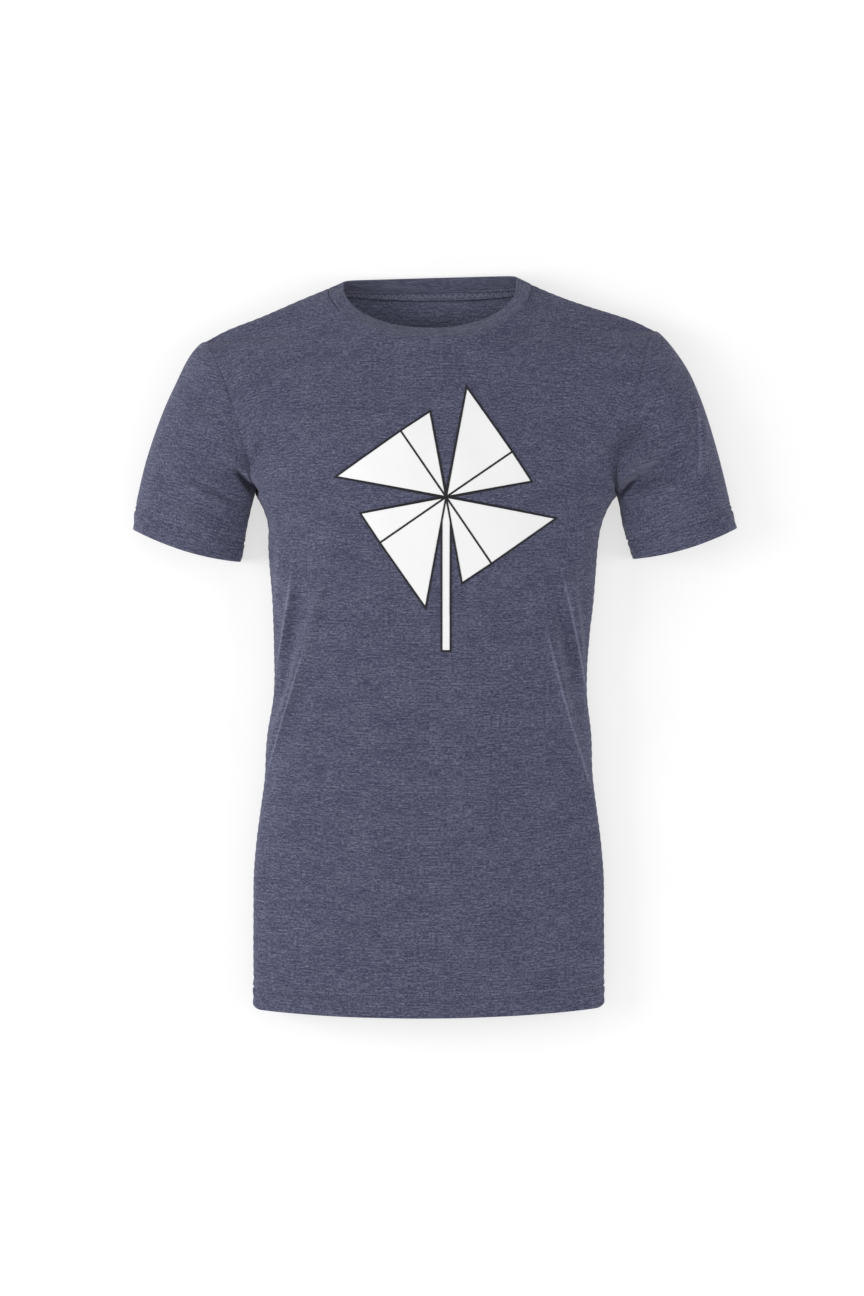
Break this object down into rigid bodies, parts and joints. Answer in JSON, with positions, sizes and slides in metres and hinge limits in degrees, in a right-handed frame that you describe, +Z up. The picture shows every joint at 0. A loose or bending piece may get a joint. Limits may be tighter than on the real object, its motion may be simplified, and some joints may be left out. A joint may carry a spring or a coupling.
{
  "type": "t-shirt",
  "caption": "Crew-neck short-sleeve jersey T-shirt with a folded-paper pinwheel print, lying softly rounded on its back, front up.",
  "frame": {"origin": "on the surface the shirt lies on, under the middle of its bounding box", "axes": "+Z up out of the shirt's front, +Y towards the neck, +X towards the wearer's left sleeve"},
  "size_m": [0.6104, 0.7484, 0.0813],
  "materials": {
    "heather_jersey": "matte",
    "heather_rib": "matte",
    "neck_tape": "matte",
    "white_ink": "matte",
    "black_ink": "matte"
  },
  "bodies": {
    "root": {"front_panel": "heather_jersey", "back_panel": "heather_jersey", "left_sleeve": "heather_jersey", "right_sleeve": "heather_jersey", "neck_rib": "heather_rib", "neck_tape": "neck_tape", "print_white": "white_ink", "print_lines": "black_ink"}
  },
  "joints": []
}
